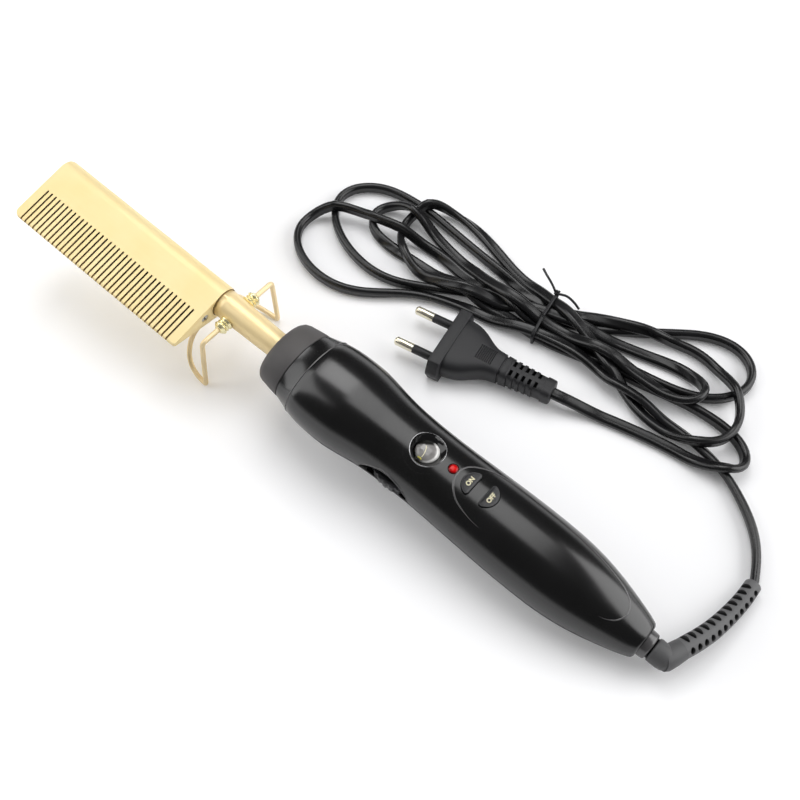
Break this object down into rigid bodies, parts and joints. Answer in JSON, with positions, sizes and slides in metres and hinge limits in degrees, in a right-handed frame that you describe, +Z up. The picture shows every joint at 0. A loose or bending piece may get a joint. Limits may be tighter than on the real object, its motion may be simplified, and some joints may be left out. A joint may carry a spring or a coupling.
{
  "type": "hot comb",
  "caption": "Electric hot comb with a brass-toned heated comb on a tube, a contoured black handle with dial and keys, a folding wire stand, and a tied cord with a two-pin plug",
  "frame": {"origin": "on the table, midway between the two feet of the wire stand", "axes": "+X from the comb towards the cord, along the handle seen from above; +Z up; -Y is the side of the comb's teeth and of the dial wheel"},
  "size_m": [0.3331, 0.1728, 0.0484],
  "materials": {
    "gold": "polished gold plating",
    "stand_gold": "polished gold-plated wire",
    "brass": "bright brass",
    "collar": "satin charcoal",
    "shell": "polished black",
    "screws": "zinc-plated steel",
    "ring": "bright chrome",
    "lens": "clear",
    "lamp": "translucent red",
    "keys": "semi-gloss black",
    "board": "green solder mask",
    "switches": "dark moulded parts",
    "wheel": "fine-textured black",
    "dial": "printed pale plastic",
    "pot": "blue moulded case",
    "ceramic": "glazed ceramic",
    "leads": "heat-proof sleeving",
    "swivel": "satin black",
    "cord": "satin black PVC",
    "tie": "black plastic-coated wire",
    "pins": "nickel-plated brass",
    "sleeves": "black insulation"
  },
  "bodies": {
    "comb": {"comb_head": "gold", "head_screw": "screws", "heater_rod": "ceramic", "heater_leads": "leads", "lead_sleeve": "ceramic", "neck_tube": "gold", "pivot_bosses": "brass", "front_collar": "collar", "tube_clamp": "screws", "clamp_screws": "screws", "upper_shell": "shell", "lower_shell": "shell", "shell_screws": "screws", "window_ring": "ring", "window_lens": "lens", "led_lamp": "lamp", "key_board": "board", "key_switches": "switches", "key_board_screws": "screws", "potentiometer": "pot", "power_board": "board", "board_parts": "switches", "board_screws": "screws", "mains_leads": "leads", "swivel_block": "swivel"},
    "stand": {"stand_wire": "stand_gold"},
    "key_on": {"button_on": "keys"},
    "key_off": {"button_off": "keys"},
    "dial": {"dial_wheel": "wheel", "dial_face": "dial", "dial_shaft": "screws"},
    "cord_set": {"cord_elbow": "swivel", "slip_rings": "brass", "strain_boot": "swivel", "cord_tail": "cord", "cord_hank": "cord", "cord_tie": "tie", "cord_lead": "cord", "plug_body": "cord", "plug_relief": "cord", "plug_pins": "pins", "pin_sleeves": "sleeves"}
  },
  "joints": [
    {"name": "stand_fold", "type": "hinge", "parent": "comb", "child": "stand", "pos_m": [0.002, 0, 0.0315], "axis": [0, -1, 0], "range_deg": [0, 80]},
    {"name": "key_on_press", "type": "slide", "parent": "comb", "child": "key_on", "axis": [-0.0978, 0, -0.9952], "range_m": [0, 0.0008], "stiffness_N_per_m": 1200, "springref_m": -0.0006},
    {"name": "key_off_press", "type": "slide", "parent": "comb", "child": "key_off", "axis": [-0.0978, 0, -0.9952], "range_m": [0, 0.0008], "stiffness_N_per_m": 1200, "springref_m": -0.0006},
    {"name": "dial_turn", "type": "hinge", "parent": "comb", "child": "dial", "pos_m": [0.09674, -0.0025, 0.02219], "axis": [0.0978, 0, 0.9952], "range_deg": [-135, 135]},
    {"name": "cord_swivel", "type": "hinge", "parent": "comb", "child": "cord_set", "pos_m": [0.21199, 0, 0.01086], "axis": [0.9952, 0, -0.0978], "continuous": true}
  ]
}
